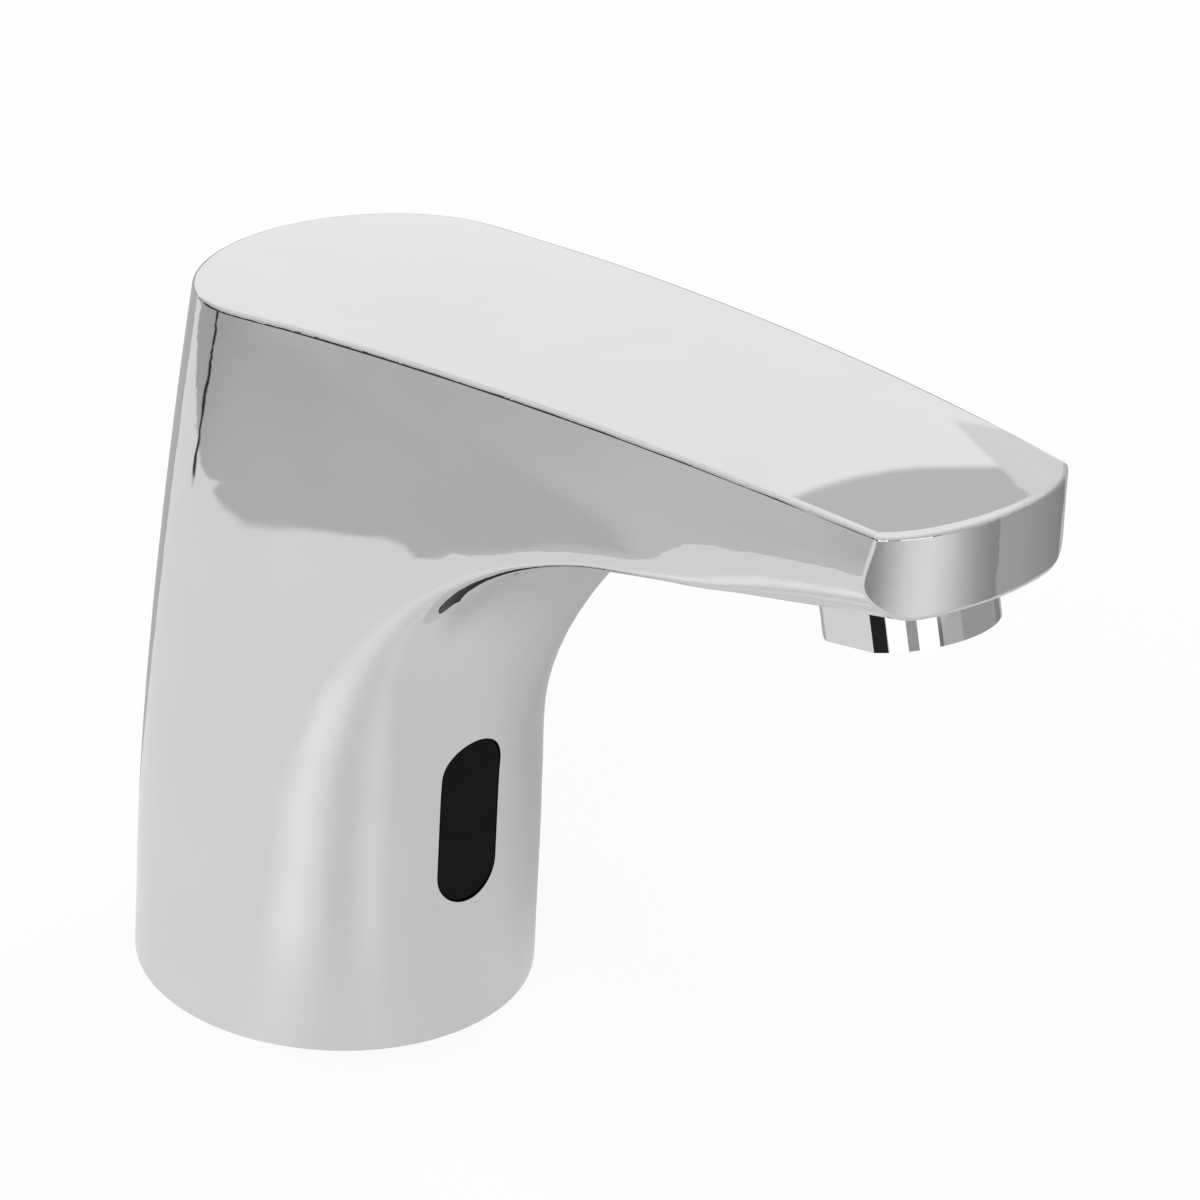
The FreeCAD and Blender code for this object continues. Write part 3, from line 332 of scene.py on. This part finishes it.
def lamp(name, at, power):
    """A square softbox that looks at the tap's middle, and doesn't show in reflections."""
    data = bpy.data.lights.new(name, "AREA")
    data.shape, data.size, data.energy = "SQUARE", LAMP_SIZE, power
    box = bpy.data.objects.new(name, data)
    box.location = at
    box.rotation_mode = "QUATERNION"
    box.rotation_quaternion = (Vector(at) - TAP_MIDDLE).to_track_quat("Z", "Y")
    box.visible_glossy = False
    scene.collection.objects.link(box)
    print("lamp:", name, power, "W")


lamp("key_light", (0.5, -0.9, 1.2), 9)
lamp("fill_light", (-0.9, -0.5, 0.9), 5)
lamp("back_light", (-0.2, 1.0, 1.1), 6)


# %% [markdown]
# ## Groups that the finishes share
# A cast, moulded or machined surface is never perfectly even. Each group below makes one kind of
# unevenness, and gives a mask for colour or roughness and a normal for the relief.

# %% Group helpers
def group(name, inputs, outputs=(("Mask", "Float"), ("Normal", "Vector")), tree_type="ShaderNodeTree"):
    """A new node group with its sockets: its tree, the outputs of its input node, and its output node."""
    tree = bpy.data.node_groups.new(name, tree_type)
    for title, kind, value in inputs:
        socket = tree.interface.new_socket(title, in_out="INPUT", socket_type="NodeSocket" + kind)
        if value is not None:
            socket.default_value = value
    for title, kind in outputs:
        tree.interface.new_socket(title, in_out="OUTPUT", socket_type="NodeSocket" + kind)
    return tree, tree.nodes.new("NodeGroupInput").outputs, tree.nodes.new("NodeGroupOutput")


def wire_out(tree, out, **values):
    """Links results to the sockets of a group's output node."""
    for name, value in values.items():
        tree.links.new(value, out.inputs[name])


def noise(tree, place, scale, detail=3.0):
    """A soft random pattern."""
    return add(tree, "ShaderNodeTexNoise", {"Vector": place, "Scale": scale, "Detail": detail}).outputs[0]


def relief(tree, height, depth):
    """A bump's normal, its depth in metres."""
    return add(tree, "ShaderNodeBump", {"Height": height, "Distance": depth, "Strength": 1.0}).outputs[0]


# %% Shared groups
# grain: the texture of a mould or of a cast and polished face
grain, given, out = group("grain", [("Vector", "Vector", None), ("Scale", "Float", 400.0),
                                    ("Depth", "Float", 1e-6)])
coarse = noise(grain, given["Vector"], given["Scale"])
fine = noise(grain, given["Vector"], maths(grain, "MULTIPLY", given["Scale"], 7.0), 1.0)
wire_out(grain, out, Mask=ramp(grain, coarse, 0.35, 0.65),
         Normal=relief(grain, maths(grain, "ADD", coarse, fine), given["Depth"]))

# lathe: fine rings left by a turning tool, around an upright axis through Centre
lathe, given, out = group("lathe", [("Vector", "Vector", None), ("Centre", "Vector", (0, 0, 0)),
                                    ("Scale", "Float", 3000.0), ("Depth", "Float", 1e-6)])
from_axis = add(lathe, "ShaderNodeVectorMath", {0: given["Vector"], 1: given["Centre"]}, operation="SUBTRACT")
parts = add(lathe, "ShaderNodeSeparateXYZ", {"Vector": from_axis.outputs[0]}).outputs
flat = vector(lathe, parts["X"], parts["Y"])
radius = add(lathe, "ShaderNodeVectorMath", {0: flat}, operation="LENGTH").outputs["Value"]
rings = noise(lathe, vector(lathe, radius, parts["Z"]), given["Scale"], 2.0)
wire_out(lathe, out, Mask=ramp(lathe, rings, 0.3, 0.7), Normal=relief(lathe, rings, given["Depth"]))

# hairlines: long faint marks that a polishing wheel leaves along the spout
ALONG_SPOUT = (0.03, 1.0, 0.4)
hairlines, given, out = group("hairlines", [("Vector", "Vector", None), ("Scale", "Float", 700.0),
                                            ("Depth", "Float", 1e-7)])
stretched = add(hairlines, "ShaderNodeVectorMath", {0: given["Vector"], 1: ALONG_SPOUT}, operation="MULTIPLY")
marks = noise(hairlines, stretched.outputs[0], given["Scale"], 4.0)
wire_out(hairlines, out, Mask=ramp(hairlines, marks, 0.56, 0.72),
         Normal=relief(hairlines, marks, given["Depth"]))
print("groups:", [g.name for g in bpy.data.node_groups])


# %% Material helpers
COLOUR_A, COLOUR_B, COLOUR_OUT = 6, 7, 2  # the Mix node's sockets for colours
finishes = {}


def use(tree, shared, **values):
    """Adds a shared group, fed with the object's own coordinates."""
    node = add(tree, "ShaderNodeGroup", node_tree=shared)
    tree.links.new(add(tree, "ShaderNodeTexCoord").outputs["Object"], node.inputs["Vector"])
    for name, value in values.items():
        node.inputs[name].default_value = value
    return node.outputs


def blend(tree, mask, first, second):
    """Blend of two colours."""
    node = add(tree, "ShaderNodeMix", data_type="RGBA")
    for index, value in ((COLOUR_A, first), (COLOUR_B, second)):
        node.inputs[index].default_value = (*value, 1)
    tree.links.new(mask, node.inputs[0])
    return node.outputs[COLOUR_OUT]


def shader(tree, **values):
    """The Principled shader and the material's output. Underscores in names stand for spaces."""
    node = add(tree, "ShaderNodeBsdfPrincipled", {k.replace("_", " "): v for k, v in values.items()})
    add(tree, "ShaderNodeOutputMaterial", {"Surface": node.outputs[0]})


def keep(name, made):
    """Puts a finish on the shelf, under its name."""
    finishes[name] = made
    print("finish:", name)


def finish(name, dark, light, rough, shared, metal=0.0, coat=0.0, level=0.5, **group_values):
    """A finish: two tones and two roughnesses, blended by a shared group, with that group's relief."""
    made, tree = material(name)
    made_by = use(tree, shared, **group_values)
    shader(tree, Base_Color=blend(tree, made_by["Mask"], dark, light), Metallic=metal,
           Roughness=ramp(tree, made_by["Mask"], 0.0, 1.0, *rough), Normal=made_by["Normal"],
           Coat_Weight=coat, Specular_IOR_Level=level)
    keep(name, made)


# %% [markdown]
# ## Chrome
# The casting is brass, ground and polished, then plated with nickel and a breath of chromium. The plate is
# a mirror with a slightly cool grey tone. Up close it keeps hairlines from the polishing wheel, and patches
# that are a touch less sharp, so two groups drive its roughness and the relief stays under a micron.

# %% Chrome finishes
MIRROR_ROUGH = 0.012
CHROME_DARK, CHROME_LIGHT = (0.752, 0.754, 0.757), (0.766, 0.768, 0.771)


def chrome(name, haze, lines):
    """Polished chrome. haze is how much rougher its dull places are, and lines the hairlines' depth."""
    made, tree = material(name)
    cast = use(tree, grain, Scale=60.0, Depth=2e-8)
    wheel = use(tree, hairlines, Scale=900.0, Depth=lines)
    sheen = maths(tree, "MULTIPLY_ADD", wheel["Mask"], haze, MIRROR_ROUGH)
    rough = maths(tree, "MULTIPLY_ADD", cast["Mask"], haze * 0.5, sheen)
    shader(tree, Base_Color=blend(tree, cast["Mask"], CHROME_DARK, CHROME_LIGHT), Metallic=1.0,
           Roughness=rough, Normal=wheel["Normal"])
    keep(name, made)


chrome("chrome_body", haze=0.008, lines=4e-9)
chrome("chrome_ring", haze=0.025, lines=2e-8)

# %% [markdown]
# ## Inside the tap
# Metals first. Turned pieces show the rings of the lathe around the valve's axis. Zinc plate has a
# crystalline, cloudy look, so its grain is coarse and its two tones lie further apart.

# %% Metals
VALVE_AXIS = (-9.0 * MM, 0, 0)
finish("raw_brass", (0.62, 0.42, 0.17), (0.80, 0.60, 0.30), (0.22, 0.38), lathe, metal=1.0,
       Centre=VALVE_AXIS, Scale=2500.0, Depth=4e-6)
finish("stainless_steel", (0.50, 0.49, 0.47), (0.66, 0.65, 0.63), (0.20, 0.34), lathe, metal=1.0,
       Centre=VALVE_AXIS, Scale=3500.0, Depth=2e-6)
finish("zinc_steel", (0.48, 0.50, 0.52), (0.72, 0.74, 0.75), (0.26, 0.48), grain, metal=1.0,
       Scale=350.0, Depth=3e-6)
finish("coil_copper", (0.48, 0.16, 0.06), (0.76, 0.34, 0.15), (0.22, 0.36), grain, metal=1.0, coat=0.6,
       Scale=500.0, Depth=2e-6)

# %% [markdown]
# Rubber and moulded plastics have no metal sheen. A spark-eroded mould gives the plastics a fine matt
# grain. Rubber is rougher still, and a little dusty, so its light tone is only a shade above black.

# %% Rubber and plastics
finish("black_rubber", (0.012, 0.012, 0.013), (0.035, 0.035, 0.036), (0.62, 0.85), grain, level=0.3,
       Scale=900.0, Depth=2e-5)
finish("black_plastic", (0.014, 0.014, 0.015), (0.026, 0.026, 0.028), (0.38, 0.55), grain,
       Scale=1400.0, Depth=8e-6)
finish("grey_plastic", (0.22, 0.225, 0.23), (0.27, 0.275, 0.28), (0.40, 0.55), grain,
       Scale=1400.0, Depth=8e-6)
finish("white_plastic", (0.70, 0.70, 0.68), (0.78, 0.78, 0.76), (0.35, 0.48), grain,
       Scale=1200.0, Depth=6e-6)
finish("tube_plastic", (0.66, 0.67, 0.66), (0.76, 0.76, 0.74), (0.28, 0.42), hairlines,
       Scale=500.0, Depth=4e-6)

# %% [markdown]
# The sensor window is a polished acrylic strip, dyed so deep that it looks black while infrared passes.
# In the picture it reflects almost nothing, so its specular level is low. The lenses behind it are cast
# resin: smoke grey for the infrared pair, red for the small status lamp.

# %% Window and lenses
finish("window_black", (0.0035, 0.0035, 0.004), (0.005, 0.005, 0.0055), (0.10, 0.16), grain, level=0.06,
       Scale=300.0, Depth=2e-7)
finish("smoke_lens", (0.010, 0.008, 0.012), (0.022, 0.018, 0.024), (0.05, 0.10), grain, coat=0.5,
       Scale=400.0, Depth=1e-6)
finish("red_lens", (0.32, 0.010, 0.008), (0.55, 0.022, 0.016), (0.08, 0.14), grain, coat=0.5,
       Scale=500.0, Depth=1e-6)

# %% [markdown]
# The circuit board is glass fibre under green lacquer. Copper tracks lie under the lacquer, so they only
# show as a lighter green. The joints of a brick pattern, turned to face the window, stand for the tracks.

# %% Circuit board
board, tree = material("board_green")
at = add(tree, "ShaderNodeTexCoord").outputs["Object"]
on_face = add(tree, "ShaderNodeVectorRotate", {"Vector": at, "Angle": math.pi / 2}, rotation_type="Y_AXIS")
tracks = add(tree, "ShaderNodeTexBrick", {"Vector": on_face.outputs[0], "Scale": 330.0, "Mortar Size": 0.09,
                                          "Mortar Smooth": 0.1, "Brick Width": 1.7, "Row Height": 0.42},
             offset=0.5).outputs["Fac"]
fibres = use(tree, grain, Scale=1500.0, Depth=4e-6)
shader(tree, Base_Color=blend(tree, tracks, (0.012, 0.10, 0.035), (0.05, 0.27, 0.10)),
       Roughness=ramp(tree, fibres["Mask"], 0.0, 1.0, to_low=0.24, to_high=0.40),
       Normal=relief(tree, tracks, 2e-5), Coat_Weight=0.3)
keep("board_green", board)

# %% [markdown]
# ## Dressing
# Each CAD piece comes with a slot that names its finish, and the finish made above takes its place there.

# %% Dress the CAD pieces
finish_of = {}
for name, node in nodes.items():
    slot = node.material_slots[0]
    finish_of[name] = slot.material.name.split(".")[0]
    slot.material = finishes[finish_of[name]]
print("finishes in use:", sorted({n.material_slots[0].material.name for n in nodes.values()}))

# %% [markdown]
# ## Pieces that follow a rule
# A real coil is one long enamelled wire, and a real screen is woven over and under. Both repeat, so
# Geometry Nodes makes them: the group's inputs are the sizes, and the node tree is the rule.
# Each is then turned into a plain mesh, which stands for the smooth CAD piece of the same size.

# %% Geometry Nodes helpers
def rule(name, inputs):
    """A geometry node group, made like the shader groups above."""
    return group(name, inputs, outputs=(("Geometry", "Geometry"),), tree_type="GeometryNodeTree")


def circle(tree, steps, radius):
    """A round curve."""
    return add(tree, "GeometryNodeCurvePrimitiveCircle", {"Resolution": steps, "Radius": radius}).outputs[0]


def swept(tree, path, section):
    """A section swept along a path."""
    return add(tree, "GeometryNodeCurveToMesh", {"Curve": path, "Profile Curve": section}).outputs[0]


def repeated(tree, piece, count, start, step, **more):
    """Copies of a piece in a straight row."""
    row = add(tree, "GeometryNodeMeshLine", {"Count": count, "Start Location": start, "Offset": step})
    return add(tree, "GeometryNodeInstanceOnPoints", {"Points": row.outputs[0], "Instance": piece,
                                                      **more}).outputs[0]


def moved(tree, geometry, **how):
    """Geometry turned or shifted."""
    return add(tree, "GeometryNodeTransform", {"Geometry": geometry, **how}).outputs[0]


def joined(tree, *parts):
    """Several parts as one."""
    node = add(tree, "GeometryNodeJoinGeometry")
    for part in parts:
        tree.links.new(part, node.inputs[0])
    return node.outputs[0]


def realized(tree, geometry, finish_socket, out):
    """The end of every rule: real geometry, smooth, with its material."""
    real = add(tree, "GeometryNodeRealizeInstances", {"Geometry": geometry}).outputs[0]
    smooth = add(tree, "GeometryNodeSetShadeSmooth", {"Geometry": real}).outputs[0]
    dressed = add(tree, "GeometryNodeSetMaterial", {"Geometry": smooth, "Material": finish_socket}).outputs[0]
    tree.links.new(dressed, out.inputs[0])


def grown(name, tree, body, stands_for, slot_name, **values):
    seed = bpy.data.objects.new(name + "_rule", bpy.data.meshes.new(name + "_rule"))
    scene.collection.objects.link(seed)
    modifier = seed.modifiers.new("rule", "NODES")
    modifier.node_group = tree
    for item in tree.interface.items_tree:
        title = item.name.replace(" ", "_")
        if item.item_type == "SOCKET" and item.in_out == "INPUT" and title in values:
            modifier[item.identifier] = values[title]
    seed.update_tag()
    evaluated = seed.evaluated_get(bpy.context.evaluated_depsgraph_get())
    mesh = bpy.data.meshes.new_from_object(evaluated)
    if mesh.materials and mesh.materials[0] is None:
        mesh.materials.pop(index=0)
    seed.modifiers.remove(modifier)
    bpy.data.objects.remove(seed)
    piece = bpy.data.objects.new(name, mesh)
    scene.collection.objects.link(piece)
    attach(piece, body)
    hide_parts(stands_for)
    print(name, len(mesh.polygons), "faces")


# %% [markdown]
# ## The coil
# One helix of 30 turns would need a start and an end that tuck in. Closed rings side by side look the same
# from outside, and a solid core behind them keeps the winding's wall thick.

# %% Coil: rings of wire side by side on a solid core
RING_STEPS, WIRE_STEPS = 72, 10
winding, given, out = rule("winding", [
    ("Ring Radius", "Float", 0.009), ("Wire", "Float", 0.0003), ("Pitch", "Float", 0.0006),
    ("Turns", "Int", 30), ("Foot", "Vector", (0, 0, 0)), ("Core Inner", "Float", 0.0048),
    ("Core Outer", "Float", 0.009), ("Core Height", "Float", 0.018), ("Finish", "Material", None)])
one_turn = swept(winding, circle(winding, RING_STEPS, given["Ring Radius"]),
                 circle(winding, WIRE_STEPS, given["Wire"]))
turns = repeated(winding, one_turn, given["Turns"], given["Foot"], vector(winding, z=given["Pitch"]))
middle = maths(winding, "MULTIPLY", maths(winding, "ADD", given["Core Inner"], given["Core Outer"]), 0.5)
thick = maths(winding, "SUBTRACT", given["Core Outer"], given["Core Inner"])
core_section = add(winding, "GeometryNodeCurvePrimitiveQuadrilateral",
                   {"Width": thick, "Height": given["Core Height"]}).outputs[0]
core = swept(winding, circle(winding, RING_STEPS, middle), core_section)
lift = vector(winding, z=maths(winding, "MULTIPLY", given["Core Height"], 0.5))
lifted = add(winding, "ShaderNodeVectorMath", {0: given["Foot"], 1: lift}, operation="ADD").outputs[0]
realized(winding, joined(winding, turns, moved(winding, core, Translation=lifted)), given["Finish"], out)

COIL_FOOT, COIL_HEIGHT, CORE_INNER, CORE_OUTER = 64.2, 18.4, 4.85, 9.0
WIRE, GAP = 0.3, 0.05  # the wire's radius, and its distance from the bobbin's flanges
grown("coil_windings", winding, "root", "solenoid_coil", "coil_copper", Ring_Radius=CORE_OUTER * MM,
      Wire=WIRE * MM, Pitch=0.61 * MM, Turns=30, Foot=(VALVE_AXIS[0], 0, (COIL_FOOT + WIRE + GAP) * MM),
      Core_Inner=CORE_INNER * MM, Core_Outer=CORE_OUTER * MM,
      Core_Height=(COIL_HEIGHT - 2 * WIRE - 2 * GAP) * MM, Finish=finishes["coil_copper"])

# %% [markdown]
# ## The screen
# The aerator's screen breaks the jet up. Two crossed layers of straight wires, one lying on the other, show
# the same square openings as a true weave, and need far fewer faces.

# %% Screen: two crossed layers of wires, each as long as the circle's chord at its place
WIRE_SIDES, LAYER_STEP = 8, 1.9  # the second layer sits just under two wire radii up, so the layers touch
screen, given, out = rule("screen_weave", [
    ("Radius", "Float", 0.0088), ("Pitch", "Float", 0.00055), ("Wire", "Float", 0.0001),
    ("Count", "Int", 31), ("Lean", "Float", 0.0), ("Centre", "Vector", (0, 0, 0)),
    ("Finish", "Material", None)])
spread = maths(screen, "MULTIPLY", given["Pitch"], maths(screen, "SUBTRACT", given["Count"], 1.0))
first = vector(screen, x=maths(screen, "MULTIPLY", spread, -0.5))
position = add(screen, "GeometryNodeInputPosition").outputs[0]
x = add(screen, "ShaderNodeSeparateXYZ", {0: position}).outputs["X"]
square = maths(screen, "SUBTRACT", maths(screen, "POWER", given["Radius"], 2.0),
               maths(screen, "MULTIPLY", x, x))
chord = maths(screen, "MULTIPLY", maths(screen, "SQRT", square), 2.0)
strand = add(screen, "GeometryNodeMeshCylinder", {"Vertices": WIRE_SIDES, "Radius": given["Wire"],
                                                  "Depth": 1.0}).outputs[0]
lying = moved(screen, strand, Rotation=(math.pi / 2, 0, 0))
layer = repeated(screen, lying, given["Count"], first, vector(screen, x=given["Pitch"]),
                 Scale=vector(screen, 1.0, chord, 1.0))
above = vector(screen, z=maths(screen, "MULTIPLY", given["Wire"], LAYER_STEP))
crossed = moved(screen, layer, Rotation=(0, 0, math.pi / 2), Translation=above)
placed = moved(screen, joined(screen, layer, crossed), Rotation=vector(screen, y=given["Lean"]),
               Translation=given["Centre"])
realized(screen, placed, given["Finish"], out)

OUTLET, OUTLET_TILT, SCREEN_BELOW = (115.6, 116.0), math.radians(15.6), 3.1
grown("screen_weave", screen, "root", "screen_pack", "stainless_steel", Radius=8.75 * MM, Pitch=0.55 * MM,
      Wire=0.11 * MM, Count=31, Lean=-OUTLET_TILT, Finish=finishes["stainless_steel"],
      Centre=((OUTLET[0] + SCREEN_BELOW * math.sin(OUTLET_TILT)) * MM, 0,
              (OUTLET[1] - SCREEN_BELOW * math.cos(OUTLET_TILT)) * MM))

# %% [markdown]
# ## Springs
# A spring stands between a fixed seat and a moving piece, so it gets shorter as its joint opens.
# Each CAD spring is swapped for a copy with a mesh of its own, attached to the root.

# %% Springs
SPRINGS = (  # spring, joint, travel in mm, height of the fixed end in mm
    ("check_spring", "check_lift", 2.5, 32.0), ("piston_spring", "piston_lift", 2.0, 55.0),
    ("plunger_spring", "plunger_lift", 1.5, 75.85))
for name, joint, travel, fixed_end in SPRINGS:
    wound = bpy.data.objects.new(name + "_wire", nodes[name].data.copy())
    scene.collection.objects.link(wound)
    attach(wound, "root")
    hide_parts(name)
    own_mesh(wound)
